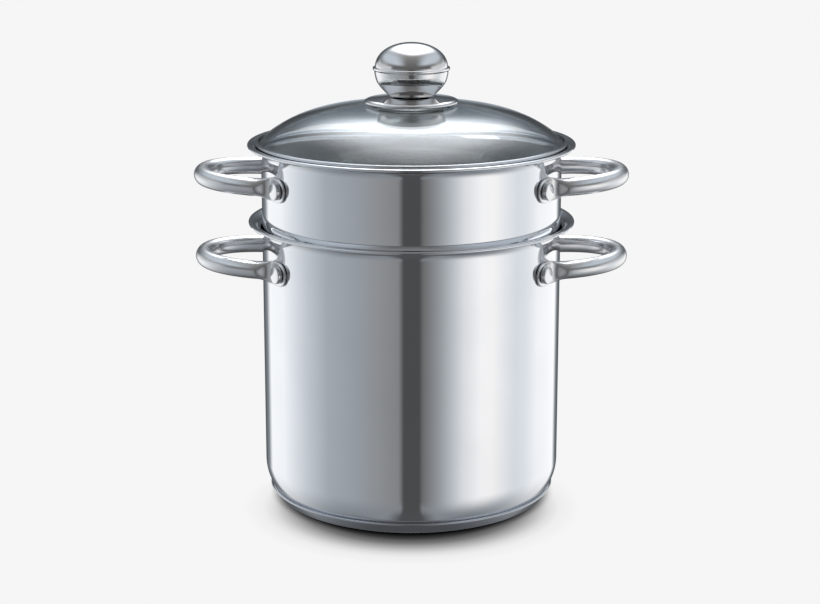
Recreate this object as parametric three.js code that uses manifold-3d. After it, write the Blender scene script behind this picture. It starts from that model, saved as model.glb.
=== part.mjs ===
// Tall stainless canning pot with a nested, perforated insert and a domed glass lid.
// Units are millimetres, +Z is up, the handles point along X, and the origin is the
// centre of the face that the base stands on.
import * as THREE from 'three';
import { mergeVertices } from 'three/addons/utils/BufferGeometryUtils.js';
import Module from 'manifold-3d';

const wasm = await Module();
wasm.setup();

// ---- Driving dimensions ----
const WALL_R = 110;            // outside radius of the pot and of the insert's visible wall
const SHEET = 0.8;             // thickness of the drawn stainless sheet
const GAP = 0.4;               // air left between pieces that touch on the real object
const POT_RIM_Z = 210.5;       // top of the pot's rolled lip
const INSERT_RIM_Z = 267.3;    // top of the insert's rolled lip
const FLARE_WIDTH = 10;        // how far both lips turn outward
const FLARE_HEIGHT = 9.6;      // height over which they turn
const LIP_BEAD_R = 1.15;       // radius of the roll on the lip's edge

const CAP_FOOT_R = 97.5;       // flat part of the base cap that meets the worktop
const CAP_TOP_R = 106.5;
const CAP_TOP_Z = 9.6;
const POT_FLOOR_Z = 6.4;       // underside of the pot's own floor
const CORE_BOTTOM_Z = 1.2;
const CORE_TOP_Z = 6;

const BASKET_R = 106;          // outside radius of the perforated part of the insert
const BASKET_FLOOR_Z = 32;
const BASKET_CORNER_R = 13;
const BASKET_SHOULDER_Z = 192;
const SPIGOT_R = 108.4;        // part of the insert that centres it in the pot's mouth
const SEAT_Z = 201.5;
const HOLE_R = 5;
const FLOOR_HOLE_RINGS = [[0, 1], [26, 6], [52, 12], [78, 18]];
const WALL_HOLE_ROWS = [70, 100];
const WALL_HOLES_PER_ROW = 18; // half of WIDE, so that every hole lies in the middle of a facet
const HOLE_SIDES = 6;

const TUBE_R = 6.5;            // handle tube
const TUBE_BORE_R = 5.3;
const LEG_Y = 45.5;            // half the distance between the two legs of a handle
const LOOP_START_X = 100;
const LOOP_REACH = 53;         // from the wall to the far centre of the loop
const LOOP_SQUARENESS = 2.2;   // exponent of the loop's superellipse
const HANDLE_TILT = THREE.MathUtils.degToRad(3.2);
const POT_HANDLE_Z = 180.6;
const INSERT_HANDLE_Z = 241.2;
const FOOT_ANGLE = THREE.MathUtils.degToRad(32);
const FOOT_R = 8.65;           // round end of the flattened foot
const FOOT_THICKNESS = 1.5;
const RIVET_HEAD_R = 6.2;
const RIVET_HEAD_HEIGHT = 3.4;
const RIVET_SHANK_R = 2.9;
const RIVET_HOLE_R = 3.4;

const GLASS_TOP_Z = 294.5;     // crown of the dome, if it had no hole
const GLASS_R = 112.2;
const GLASS_THICKNESS = 4;
const DOME_DROP = 17.65;       // how far the dome has fallen at a radius of 100
const DOME_POWER = 3.7;        // a flat middle and steep shoulders; 2 would be nearly a sphere
const DOME_EDGE_R = 111.6;
const BAND_TOP_Z = 268.9;
const GLASS_HOLE_R = 5;
const SCREW_R = 3;
const SCREW_CLEARANCE_R = 3.4;

const KNOB_SEAM_Z = 321.3;
const KNOB_R = 26.6;
const KNOB_RIDGE_R = 28.1;
const KNOB_TOP_Z = 339.8;
const KNOB_FOOT_Z = 301.3;
const KNOB_FOOT_R = 16.6;
const KNOB_SHELL = 1;
const DISC_R = 34.3;
const CUP_R = 25;
const CUP_BOTTOM_Z = 280.4;
const CUP_TOP_Z = 288.4;

const WIDE = 36;               // facets round the large turned pieces
const NARROW = 20;             // facets round the small ones
const FINE = 8;                // facets round the rivets

// ---- Finishes ----
const polishedSteel = new THREE.MeshStandardMaterial({ color: 0xc8ccd2, roughness: 0.1, metalness: 1 });
const brushedSteel = new THREE.MeshStandardMaterial({ color: 0xb4b8bd, roughness: 0.35, metalness: 1 });
const aluminium = new THREE.MeshStandardMaterial({ color: 0xb9bcc0, roughness: 0.5, metalness: 1 });
const temperedGlass = new THREE.MeshStandardMaterial({
  color: 0xbfcfca, roughness: 0.05, metalness: 0, transparent: true, opacity: 0.35,
});
const silicone = new THREE.MeshStandardMaterial({ color: 0xd9dbd8, roughness: 0.6, metalness: 0 });
const satinSteel = new THREE.MeshStandardMaterial({ color: 0xc4c8c8, roughness: 0.4, metalness: 1 });

// ---- Geometry helpers ----

// A closed solid from any closed geometry, with its shared vertices merged.
function solid(geometry) {
  const bare = geometry.index ? geometry.toNonIndexed() : geometry.clone();
  bare.deleteAttribute('normal');
  bare.deleteAttribute('uv');
  const merged = mergeVertices(bare, 1e-4);
  return new wasm.Manifold(new wasm.Mesh({
    numProp: 3,
    vertProperties: new Float32Array(merged.attributes.position.array),
    triVerts: new Uint32Array(merged.index.array),
  }));
}

function geometryOf(manifold) {
  const mesh = manifold.getMesh();
  const geometry = new THREE.BufferGeometry();
  geometry.setAttribute('position', new THREE.BufferAttribute(mesh.vertProperties.slice(), 3));
  geometry.setIndex(new THREE.BufferAttribute(mesh.triVerts.slice(), 1));
  return geometry;
}

// Turns an outline of [radius, height] pairs about Z. It runs anticlockwise: out along
// the bottom, up the outside, and back to where it began.
function turned(outline, facets) {
  const points = outline.map(([r, z]) => new THREE.Vector2(r, z));
  points.push(points[0].clone());
  return new THREE.LatheGeometry(points, facets).rotateX(Math.PI / 2);
}

// Points on an arc about (cr, cz), from one angle to another in degrees.
function arc(cr, cz, radius, from, to, steps) {
  const points = [];
  for (let i = 0; i <= steps; i += 1) {
    const angle = THREE.MathUtils.degToRad(from + ((to - from) * i) / steps);
    points.push([cr + radius * Math.cos(angle), cz + radius * Math.sin(angle)]);
  }
  return points;
}

// Places a shape that was built on the pot's axis so that its Z points radially outward.
function facingOut(angle, z, geometry) {
  const radial = new THREE.Vector3(Math.cos(angle), Math.sin(angle), 0);
  const tangent = new THREE.Vector3(-Math.sin(angle), Math.cos(angle), 0);
  const basis = new THREE.Matrix4().makeBasis(tangent, new THREE.Vector3(0, 0, 1), radial);
  basis.setPosition(0, 0, z);
  return geometry.clone().applyMatrix4(basis);
}

function cylinderAlongZ(radius, length, facets) {
  return new THREE.CylinderGeometry(radius, radius, length, facets).rotateX(Math.PI / 2);
}

const footAngles = [FOOT_ANGLE, -FOOT_ANGLE, Math.PI + FOOT_ANGLE, Math.PI - FOOT_ANGLE];
const footNames = ['right_rear', 'right_front', 'left_front', 'left_rear'];

function cutRivetHoles(body, z) {
  const drill = cylinderAlongZ(RIVET_HOLE_R, 30, FINE).translate(0, 0, WALL_R);
  return footAngles.reduce((left, angle) => left.subtract(solid(facingOut(angle, z, drill))), body);
}

// The outward flare and rolled lip that both the pot and the insert end in: the outer
// side going up, then round the bead, then the inner side going down.
function flaredLip(rimZ) {
  const flareZ = rimZ - FLARE_HEIGHT;
  const centreR = WALL_R + FLARE_WIDTH - LIP_BEAD_R;
  const reach = centreR - WALL_R;
  const beadZ = rimZ - LIP_BEAD_R;
  const below = arc(centreR, flareZ, reach, 180, 112, 3);
  const bead = arc(centreR, beadZ, LIP_BEAD_R, -100, 80, 3);
  const above = arc(centreR, flareZ, reach + SHEET, 104, 180, 3);
  return [...below, ...bead, ...above];
}

// ---- Pot and its encapsulated base ----

function potBody() {
  const corner = [[98, POT_FLOOR_Z], [101.6, 7], [103.9, 8.2], [105, 9.9], [106.5, 12.9], [108.2, 17.6],
    [109.5, 22.8], [WALL_R, 28.4]];
  const inside = [[WALL_R - SHEET, 28.4], [108.6, 22.9], [107.3, 17.9], [105.7, 13.4], [103.6, 10],
    [100.6, 8], [97.6, POT_FLOOR_Z + SHEET]];
  const outline = [[0, POT_FLOOR_Z], ...corner, ...flaredLip(POT_RIM_Z), ...inside,
    [0, POT_FLOOR_Z + SHEET]];
  return geometryOf(cutRivetHoles(solid(turned(outline, WIDE)), POT_HANDLE_Z));
}

function baseCorePlate() {
  const outline = [[0, CORE_BOTTOM_Z], [96.6, CORE_BOTTOM_Z], [99.4, 2.4], [101.8, CORE_TOP_Z], [0, CORE_TOP_Z]];
  return geometryOf(solid(turned(outline, WIDE)));
}

function baseCap() {
  const outline = [[0, 0], [CAP_FOOT_R, 0], [99.8, 0.6], [101.3, 1.8], [CAP_TOP_R, 8.8], [106.2, CAP_TOP_Z],
    [105.4, CAP_TOP_Z], [104.9, 8.2], [100.5, 2.3], [97.3, SHEET], [0, SHEET]];
  return geometryOf(solid(turned(outline, WIDE)));
}

// ---- Insert: solid wall above the pot, perforated basket inside it ----

function insertBody() {
  const cornerZ = BASKET_FLOOR_Z + BASKET_CORNER_R;
  const cornerR = BASKET_R - BASKET_CORNER_R;
  const outside = [...arc(cornerR, cornerZ, BASKET_CORNER_R, -90, 0, 4), [BASKET_R, BASKET_SHOULDER_Z - 4],
    [SPIGOT_R, BASKET_SHOULDER_Z], [SPIGOT_R, SEAT_Z], [109.1, 204], [109.8, 206.6], [WALL_R, 209.5]];
  const inside = [[WALL_R - SHEET, 209.3], [109, 206.9], [108.2, 204.3], [SPIGOT_R - SHEET, SEAT_Z + 0.2],
    [SPIGOT_R - SHEET, BASKET_SHOULDER_Z + 0.5], [BASKET_R - SHEET, BASKET_SHOULDER_Z - 3.6],
    ...arc(cornerR, cornerZ, BASKET_CORNER_R - SHEET, 0, -90, 4)];
  const outline = [[0, BASKET_FLOOR_Z], ...outside, ...flaredLip(INSERT_RIM_Z), ...inside,
    [0, BASKET_FLOOR_Z + SHEET]];
  const shell = cutRivetHoles(solid(turned(outline, WIDE)), INSERT_HANDLE_Z);
  return geometryOf(shell.subtract(basketHoles()));
}

function basketHoles() {
  const drills = [];
  for (const [ringR, count] of FLOOR_HOLE_RINGS) {
    for (let i = 0; i < count; i += 1) {
      const angle = (2 * Math.PI * i) / count;
      const drill = cylinderAlongZ(HOLE_R, 6, HOLE_SIDES);
      drills.push(drill.translate(ringR * Math.cos(angle), ringR * Math.sin(angle), BASKET_FLOOR_Z));
    }
  }
  WALL_HOLE_ROWS.forEach((z, row) => {
    for (let i = 0; i < WALL_HOLES_PER_ROW; i += 1) {
      const angle = (2 * Math.PI * (i + row / 2 + 0.25)) / WALL_HOLES_PER_ROW;
      drills.push(facingOut(angle, z, cylinderAlongZ(HOLE_R, 12, HOLE_SIDES).translate(0, 0, BASKET_R)));
    }
  });
  return drills.map(solid).reduce((all, drill) => all.add(drill));
}

// ---- Handles: a bent tube whose two ends are flattened into riveted feet ----

function loopLine() {
  const points = [];
  const lift = Math.tan(HANDLE_TILT);
  const place = (x, y) => points.push(new THREE.Vector3(x, y, (x - LOOP_START_X) * lift));
  place(LOOP_START_X - 8, -LEG_Y);
  for (let degrees = -90; degrees <= 90; degrees += 15) {
    const angle = THREE.MathUtils.degToRad(degrees);
    const across = Math.abs(Math.cos(angle)) ** (2 / LOOP_SQUARENESS);
    const along = Math.sign(angle) * Math.abs(Math.sin(angle)) ** (2 / LOOP_SQUARENESS);
    place(LOOP_START_X + LOOP_REACH * across, LEG_Y * along);
  }
  place(LOOP_START_X - 8, LEG_Y);
  return new THREE.CatmullRomCurve3(points, false, 'centripetal');
}

function ringSection(outerR, boreR, corners) {
  const circle = (radius) => Array.from({ length: corners }, (unused, i) => {
    const angle = (2 * Math.PI * i) / corners;
    return new THREE.Vector2(radius * Math.cos(angle), radius * Math.sin(angle));
  });
  const section = new THREE.Shape(circle(outerR));
  section.holes.push(new THREE.Path(circle(boreR).reverse()));
  return section;
}

// One flattened foot: a tongue with a round end, wrapped on the wall.
function foot(side) {
  const tongue = new THREE.Shape();
  tongue.moveTo(-side * 14, -5.5);
  tongue.lineTo(-side * 5, -FOOT_R);
  for (let degrees = -90; degrees <= 90; degrees += 30) {
    const angle = THREE.MathUtils.degToRad(degrees);
    tongue.lineTo(side * FOOT_R * Math.cos(angle), FOOT_R * Math.sin(angle));
  }
  tongue.lineTo(-side * 5, FOOT_R);
  tongue.lineTo(-side * 14, 5.5);
  const prism = new THREE.ExtrudeGeometry(tongue, { depth: 40, bevelEnabled: false, curveSegments: 1 });
  const inner = WALL_R + GAP;
  const outer = inner + FOOT_THICKNESS;
  const sleeve = solid(turned([[inner, -12], [outer, -12], [outer, 12], [inner, 12]], WIDE));
  const plate = sleeve.intersect(solid(facingOut(side * FOOT_ANGLE, 0, prism.translate(0, 0, 90))));
  const drill = cylinderAlongZ(RIVET_HOLE_R, 30, FINE).translate(0, 0, WALL_R);
  return plate.subtract(solid(facingOut(side * FOOT_ANGLE, 0, drill)));
}

function handle() {
  const tube = new THREE.ExtrudeGeometry(ringSection(TUBE_R, TUBE_BORE_R, 8), {
    extrudePath: loopLine(), steps: 14, bevelEnabled: false,
  });
  const wall = solid(cylinderAlongZ(WALL_R + GAP, 60, WIDE));
  const rivetRoom = [1, -1].map((side) => solid(facingOut(
    side * FOOT_ANGLE, 0, cylinderAlongZ(RIVET_HEAD_R + GAP, 10, NARROW).translate(0, 0, WALL_R + 7),
  )));
  const bent = rivetRoom.reduce((left, room) => left.subtract(room), solid(tube).subtract(wall));
  return geometryOf(bent.add(foot(1)).add(foot(-1)));
}

function rivet() {
  const neck = WALL_R + GAP + FOOT_THICKNESS + GAP;
  const top = neck + RIVET_HEAD_HEIGHT;
  const tail = WALL_R - SHEET - 0.9;
  return turned([[0, tail - 1.3], [5.2, tail - 1], [5.2, tail], [RIVET_SHANK_R, tail], [RIVET_SHANK_R, neck],
    [RIVET_HEAD_R, neck], [RIVET_HEAD_R, top - 0.7], [RIVET_HEAD_R - 1, top], [0, top]], FINE);
}

// ---- Lid ----

// A point of the dome's outer face, or of the inner face one thickness below it.
function domePoint(r, depth = 0) {
  const z = GLASS_TOP_Z - DOME_DROP * (r / 100) ** DOME_POWER;
  const slope = (DOME_DROP * DOME_POWER) / 100 * (r / 100) ** (DOME_POWER - 1);
  const length = Math.hypot(slope, 1);
  return [r - (depth * slope) / length, z - depth / length];
}

function lidGlass() {
  // The rings are closer together where the dome bends more.
  const rings = [36, 58, 76, 91, 102];
  const top = [...rings].reverse().map((r) => domePoint(r));
  const under = rings.map((r) => domePoint(r, GLASS_THICKNESS));
  const crown = GLASS_TOP_Z - GLASS_THICKNESS;
  const outline = [[GLASS_HOLE_R, crown], ...under, domePoint(109, GLASS_THICKNESS), [109.7, 263.9],
    [GLASS_R, 266.9], [GLASS_R, 267.4], domePoint(DOME_EDGE_R), ...top, [GLASS_HOLE_R, GLASS_TOP_Z]];
  return turned(outline, WIDE);
}

function lidRimBand() {
  return turned([[107, 265], [109.3, 262.2], [109.8, 262.2], [110.9, 264], [112.8, 266], [113.9, 267],
    [113.9, 268.2], [113.4, BAND_TOP_Z], [111.7, BAND_TOP_Z], [111.7, 268.3], [113, 268.1], [113, 267.2],
    [112.8, 266.8], [110.1, 263.9], [109.5, 263], [107.4, 265.5]], WIDE);
}

function knobUpperShell() {
  const rise = KNOB_TOP_Z - KNOB_SEAM_Z - GAP;
  const seam = KNOB_SEAM_Z + GAP;
  const squareness = 2.08;
  const steps = 5;
  const half = (scaleR, scaleZ, from, to) => {
    const points = [];
    for (let i = 0; i <= steps; i += 1) {
      const angle = THREE.MathUtils.degToRad(from + ((to - from) * i) / steps);
      const r = scaleR * Math.abs(Math.cos(angle)) ** (2 / squareness);
      points.push([r, seam + scaleZ * Math.abs(Math.sin(angle)) ** (2 / squareness)]);
    }
    return points;
  };
  const outside = half(KNOB_R, rise, 0, 90);
  const inside = half(KNOB_R - KNOB_SHELL, rise - KNOB_SHELL, 90, 0);
  outside[steps][0] = 0;
  inside[0][0] = 0;
  return turned([...outside, ...inside], NARROW);
}

function knobLowerShell() {
  const seam = KNOB_SEAM_Z;
  const spigotR = KNOB_R - 1.6;
  return turned([[7.8, KNOB_FOOT_Z], [KNOB_FOOT_R, KNOB_FOOT_Z], [19.5, seam - 17.2], [22.7, seam - 13.8],
    [25.5, seam - 9.8], [26.8, seam - 4.6], [27, seam - 1.6], [KNOB_RIDGE_R, seam - 0.8],
    [KNOB_RIDGE_R, seam + 0.5], [27.3, seam + 0.9], [27, seam], [spigotR, seam], [spigotR, seam + 2.4],
    [spigotR - 0.7, seam + 2.4], [spigotR - 0.7, seam - 4], [23.4, seam - 10.2], [18.4, seam - 16.6],
    [16, KNOB_FOOT_Z + KNOB_SHELL], [7.8, KNOB_FOOT_Z + KNOB_SHELL]], NARROW);
}

function knobThreadBush() {
  return turned([[SCREW_CLEARANCE_R, KNOB_FOOT_Z], [7.3, KNOB_FOOT_Z], [7.3, KNOB_FOOT_Z + 1.4],
    [10.5, KNOB_FOOT_Z + 1.4], [10.5, KNOB_FOOT_Z + 3], [6.4, KNOB_FOOT_Z + 3], [6.4, 316],
    [SCREW_CLEARANCE_R, 316]], NARROW);
}

function knobBaseDisc() {
  return turned([[4.3, 296.8], [27.6, 296.8], [28, 294.9], [31.6, 294.5], [33.4, 295], [DISC_R, 296.4],
    [33.9, 297.8], [32.4, 298.9], [18, 300.7], [4.3, 300.9]], NARROW * 1.6);
}

function upperGasket() {
  return turned([[GLASS_HOLE_R, 294.8], [27, 294.8], [27, 296.4], [GLASS_HOLE_R, 296.4]], NARROW);
}

function lowerGasket() {
  return turned([[GLASS_HOLE_R, CUP_TOP_Z + GAP], [20, CUP_TOP_Z + GAP], [20, 290.1], [GLASS_HOLE_R, 290.1]],
    NARROW);
}

function retainingCup() {
  return turned([[SCREW_CLEARANCE_R, 287.2], [21.5, 287.2], [23.3, 286], [23.8, 284.4], [23.8, CUP_BOTTOM_Z],
    [CUP_R, CUP_BOTTOM_Z], [CUP_R, 284.8], [24.2, 287.3], [22.2, CUP_TOP_Z], [SCREW_CLEARANCE_R, CUP_TOP_Z]],
    NARROW * 1.6);
}

function lockWasher() {
  return turned([[SCREW_CLEARANCE_R, 286], [7, 286], [7, 286.9], [SCREW_CLEARANCE_R, 286.9]], NARROW);
}

function lidScrew() {
  const body = solid(turned([[0, 282.3], [4.6, 282.3], [5.6, 283.4], [5.6, 285.7], [SCREW_R, 285.7], [SCREW_R, 312],
    [SCREW_R - 0.6, 313], [0, 313]], NARROW));
  const slot = new THREE.BoxGeometry(14, 1.2, 3).translate(0, 0, 282.3);
  return geometryOf(body.subtract(solid(slot)));
}

// ---- Assembly ----

const canner = new THREE.Group();

function addPiece(name, geometry, material, place = {}) {
  const mesh = new THREE.Mesh(geometry, material);
  mesh.name = name;
  mesh.position.z = place.z ?? 0;
  mesh.rotation.z = place.turn ?? 0;
  canner.add(mesh);
}

addPiece('pot_body', potBody(), polishedSteel);
addPiece('base_core_plate', baseCorePlate(), aluminium);
addPiece('base_cap', baseCap(), brushedSteel);
addPiece('insert_body', insertBody(), polishedSteel);

const handleGeometry = handle();
for (const [owner, z] of [['pot', POT_HANDLE_Z], ['insert', INSERT_HANDLE_Z]]) {
  addPiece(`${owner}_handle_right`, handleGeometry, polishedSteel, { z });
  addPiece(`${owner}_handle_left`, handleGeometry, polishedSteel, { z, turn: Math.PI });
  footNames.forEach((name, i) => {
    addPiece(`${owner}_rivet_${name}`, facingOut(footAngles[i], z, rivet()), polishedSteel);
  });
}

addPiece('lid_glass', lidGlass(), temperedGlass);
addPiece('lid_rim_band', lidRimBand(), polishedSteel);
addPiece('knob_upper_shell', knobUpperShell(), polishedSteel);
addPiece('knob_lower_shell', knobLowerShell(), polishedSteel);
addPiece('knob_thread_bush', knobThreadBush(), brushedSteel);
addPiece('knob_base_disc', knobBaseDisc(), polishedSteel);
addPiece('upper_gasket', upperGasket(), silicone);
addPiece('lower_gasket', lowerGasket(), silicone);
addPiece('retaining_cup', retainingCup(), satinSteel);
addPiece('lock_washer', lockWasher(), brushedSteel);
addPiece('lid_screw', lidScrew(), brushedSteel);

export default canner;
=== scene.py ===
# %% [markdown]
# # A tall canning pot with a nested insert and a glass lid
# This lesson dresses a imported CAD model. The frame gives every size and every joint. Each
# cell below says what a piece is on the real object, how it could be made in Blender, and
# why this way was chosen, and then makes it.

# %% Load the frame
import math
import bmesh
import bpy
from mathutils import Matrix, Vector


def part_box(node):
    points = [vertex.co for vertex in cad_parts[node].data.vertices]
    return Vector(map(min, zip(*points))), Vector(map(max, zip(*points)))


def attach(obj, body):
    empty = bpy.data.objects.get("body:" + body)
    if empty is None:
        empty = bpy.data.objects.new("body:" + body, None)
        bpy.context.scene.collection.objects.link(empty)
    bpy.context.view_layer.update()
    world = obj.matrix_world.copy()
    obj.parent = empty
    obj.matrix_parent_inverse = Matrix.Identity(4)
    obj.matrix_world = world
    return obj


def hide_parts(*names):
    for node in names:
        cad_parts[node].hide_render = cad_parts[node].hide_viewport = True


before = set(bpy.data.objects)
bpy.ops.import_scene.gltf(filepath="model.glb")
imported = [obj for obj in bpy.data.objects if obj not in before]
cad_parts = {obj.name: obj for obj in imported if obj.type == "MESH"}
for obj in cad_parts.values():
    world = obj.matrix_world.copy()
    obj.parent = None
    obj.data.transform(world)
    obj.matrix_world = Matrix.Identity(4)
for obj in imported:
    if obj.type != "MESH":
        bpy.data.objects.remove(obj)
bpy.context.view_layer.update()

# %% [markdown]
# ## Sizes
# The frame's boxes give the lips, the base and the knob. What a box can't say, such as how
# far a lip turns outward, is named here once, in metres, and everything else follows.

# %% Driving sizes
MM = 0.001
pot_low, pot_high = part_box("pot_body")
insert_low, insert_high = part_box("insert_body")
cap_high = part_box("base_cap")[1]

LIP_R = pot_high.y
FLARE_WIDTH = 10 * MM
FLARE_HEIGHT = 9.6 * MM
BEAD_R = 1.15 * MM
SHEET = 0.8 * MM
WALL_R = LIP_R - FLARE_WIDTH
TURN_STEPS = 160
SMALL_STEPS = 96
print(f"wall radius {WALL_R / MM:.1f} mm, pot lip at {pot_high.z / MM:.1f} mm")

# %% [markdown]
# ## Turned pieces
# Most of the object is round, so most pieces are an outline turned about Z. `bmesh.ops.spin`
# does the turning. An outline is a list of corners, each with the radius that its corner is
# rounded to: sharp sheet edges never look real, and a small round catches a line of light.

# %% Outline helpers
def arc(cr, cz, radius, start, end, steps=8):
    """Points on an arc about (cr, cz), from one angle to another in degrees."""
    points = []
    for i in range(steps + 1):
        angle = math.radians(start + (end - start) * i / steps)
        points.append((cr + radius * math.cos(angle), cz + radius * math.sin(angle), 0))
    return points


def rounded(corners, steps=5):
    """Replaces each corner (r, z, radius) by an arc that touches both of its sides."""
    outline = []
    count = len(corners)
    for i, (r, z, radius) in enumerate(corners):
        here = Vector((r, z))
        before = Vector(corners[i - 1][:2]) - here
        after = Vector(corners[(i + 1) % count][:2]) - here
        if radius == 0 or before.length < 1e-9 or after.length < 1e-9:
            outline.append(here)
            continue
        a, b = before.normalized(), after.normalized()
        half = a.angle(b) / 2
        if half > math.radians(88):
            outline.append(here)
            continue
        reach = min(radius / math.tan(half), before.length * 0.48, after.length * 0.48)
        radius = reach * math.tan(half)
        centre = here + (a + b).normalized() * (radius / math.sin(half))
        first = here + a * reach - centre
        last = here + b * reach - centre
        turn = first.angle_signed(last)
        for k in range(steps + 1):
            angle = -turn * k / steps
            spun = Vector((first.x * math.cos(angle) - first.y * math.sin(angle),
                           first.x * math.sin(angle) + first.y * math.cos(angle)))
            outline.append(centre + spun)
    return outline


print("a rounded corner takes", len(rounded([(0, 0, 0), (1, 0, 0.1), (1, 1, 0)])) - 2, "points")

# %% [markdown]
# ## Mesh helpers
# Every piece ends the same way: doubles merged, faces turned outward, smooth shading with
# true edges kept sharp, and then it rides on its body and replaces its CAD node.

# %% Mesh helpers
MERGE_DIST = 1e-6
SHARP = 35


def finish_mesh(bm, name, materials, sharp=SHARP, recalculate=True):
    bmesh.ops.remove_doubles(bm, verts=bm.verts, dist=MERGE_DIST)
    if recalculate:
        bmesh.ops.recalc_face_normals(bm, faces=bm.faces)
    mesh = bpy.data.meshes.new(name)
    bm.to_mesh(mesh)
    bm.free()
    for material in materials:
        mesh.materials.append(material)
    mesh.shade_smooth()
    mesh.set_sharp_from_angle(angle=math.radians(sharp))
    piece = bpy.data.objects.new(name, mesh)
    bpy.context.scene.collection.objects.link(piece)
    return piece


def turn_outline(outline, steps):
    """Turns a closed outline about Z. Points on the axis become poles."""
    bm = bmesh.new()
    verts = [bm.verts.new((p[0], 0, p[1])) for p in outline]
    edges = []
    for a, b in zip(verts, verts[1:] + verts[:1]):
        on_axis = a.co.x < 1e-7 and b.co.x < 1e-7
        if not on_axis:
            edges.append(bm.edges.new((a, b)))
    bmesh.ops.spin(bm, geom=verts + edges, cent=(0, 0, 0), axis=(0, 0, 1), dvec=(0, 0, 0),
                   angle=2 * math.pi, steps=steps, use_merge=True, use_normal_flip=False,
                   use_duplicate=False)
    bmesh.ops.remove_doubles(bm, verts=bm.verts, dist=MERGE_DIST)
    bmesh.ops.recalc_face_normals(bm, faces=bm.faces)
    return bm


def dress(piece, node, body):
    """The piece stands for a CAD node, which it hides, and moves with its body."""
    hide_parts(node)
    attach(piece, body)
    faces = len(piece.data.polygons)
    print(f"{piece.name}: {faces} faces, on {body}")
    return piece


trial = turn_outline([Vector((0, 0)), Vector((1, 0)), Vector((0, 1))], 12)
print("a cone turned in 12 steps has", len(trial.faces), "faces")
trial.free()

# %% [markdown]
# ## Node helpers for materials
# Materials here are short node trees. `wire` adds a node, sets its values and links its
# inputs in one line, so that each finish reads like a recipe.

# %% Material helpers
def new_material(name):
    material = bpy.data.materials.new(name)
    material.use_nodes = True
    tree = material.node_tree
    tree.nodes.clear()
    output = tree.nodes.new("ShaderNodeOutputMaterial")
    shader = tree.nodes.new("ShaderNodeBsdfPrincipled")
    tree.links.new(shader.outputs["BSDF"], output.inputs["Surface"])
    return material, tree, shader, output


def wire(tree, kind, settings=None, **inputs):
    """Adds a node. Inputs are given by name or by i0, i1...; a socket links, a value is set."""
    node = tree.nodes.new("ShaderNode" + kind)
    for key, value in (settings or {}).items():
        setattr(node, key, value)
    for key, value in inputs.items():
        if key[0] == "i" and key[1:].isdigit():
            socket = node.inputs[int(key[1:])]
        else:
            socket = node.inputs[key.replace("_", " ")]
        if isinstance(value, bpy.types.NodeSocket):
            tree.links.new(value, socket)
        else:
            socket.default_value = value
    return node


def ranged(tree, value, low, high):
    """Stretches a 0 to 1 value between two limits."""
    node = wire(tree, "MapRange", Value=value)
    node.inputs["To Min"].default_value = low
    node.inputs["To Max"].default_value = high
    return node.outputs["Result"]


print("node helpers ready")

# %% [markdown]
# ## Mirror-polished stainless steel
# Cookware is polished with a fine compound on a turning wheel. Up close it is a mirror, but
# never a perfect one: hair-fine lines run round the wall, the gloss wanders a little from
# place to place, and there is a trace of colour. Noise stretched along the direction of
# turning gives the lines, and a broad noise gives the wandering gloss.

# %% Polished steel
def steel(name, colour, gloss, line_scale, line_depth, haze=0.02):
    """gloss is the roughness; line_scale stretches the polishing lines; haze is how far
    the gloss wanders."""
    material, tree, shader, _ = new_material(name)
    place = wire(tree, "TexCoord").outputs["Object"]
    stretched = wire(tree, "Mapping", Vector=place)
    stretched.inputs["Scale"].default_value = line_scale
    lines = wire(tree, "TexNoise", Vector=stretched.outputs["Vector"], Scale=1.0, Detail=3.0,
                 Roughness=0.6)
    broad = wire(tree, "TexNoise", Vector=place, Scale=22.0, Detail=3.0, Roughness=0.55)
    fine = wire(tree, "TexNoise", Vector=place, Scale=900.0, Detail=2.0, Roughness=0.5)
    wander = wire(tree, "Math", {"operation": "MULTIPLY"}, i0=broad.outputs["Fac"],
                  i1=lines.outputs["Fac"])
    rough = ranged(tree, wander.outputs[0], max(gloss - haze, 0.004), gloss + haze)
    tree.links.new(rough, shader.inputs["Roughness"])
    tint = wire(tree, "ValToRGB", Fac=broad.outputs["Fac"])
    ramp = tint.color_ramp
    darker = [c * 0.965 for c in colour]
    ramp.elements[0].position = 0.3
    ramp.elements[0].color = (*darker, 1)
    ramp.elements[1].position = 0.7
    ramp.elements[1].color = (*colour, 1)
    tree.links.new(tint.outputs["Color"], shader.inputs["Base Color"])
    height = wire(tree, "Math", {"operation": "ADD"}, i0=lines.outputs["Fac"],
                  i1=fine.outputs["Fac"])
    bump = wire(tree, "Bump", Strength=line_depth, Distance=0.00002, Height=height.outputs[0])
    tree.links.new(bump.outputs["Normal"], shader.inputs["Normal"])
    shader.inputs["Metallic"].default_value = 1.0
    return material


ROUND_LINES = (30, 30, 2600)
FINE_GRAIN = (700, 700, 700)
wall_steel = steel("polished_wall", (0.80, 0.81, 0.83), 0.03, ROUND_LINES, 0.05)
inside_steel = steel("satin_inside", (0.73, 0.735, 0.74), 0.2, ROUND_LINES, 0.08, haze=0.05)
handle_steel = steel("polished_handle", (0.80, 0.80, 0.81), 0.26, FINE_GRAIN, 0.04)
rivet_steel = steel("polished_rivet", (0.79, 0.79, 0.80), 0.07, FINE_GRAIN, 0.04)
knob_steel = steel("polished_knob", (0.79, 0.785, 0.785), 0.02, (60, 60, 1800), 0.03)
cap_steel = steel("satin_cap", (0.63, 0.65, 0.69), 0.2, ROUND_LINES, 0.3, haze=0.05)
print("steel finishes made")

# %% [markdown]
# ## The pot
# On the real object this is one sheet of steel, drawn deep, with its mouth flared over a
# form and its edge rolled. A cylinder with a Solidify modifier would miss the flare and the
# rolled lip, which are what the eye goes to, so the sheet's true section is turned instead.

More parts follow.
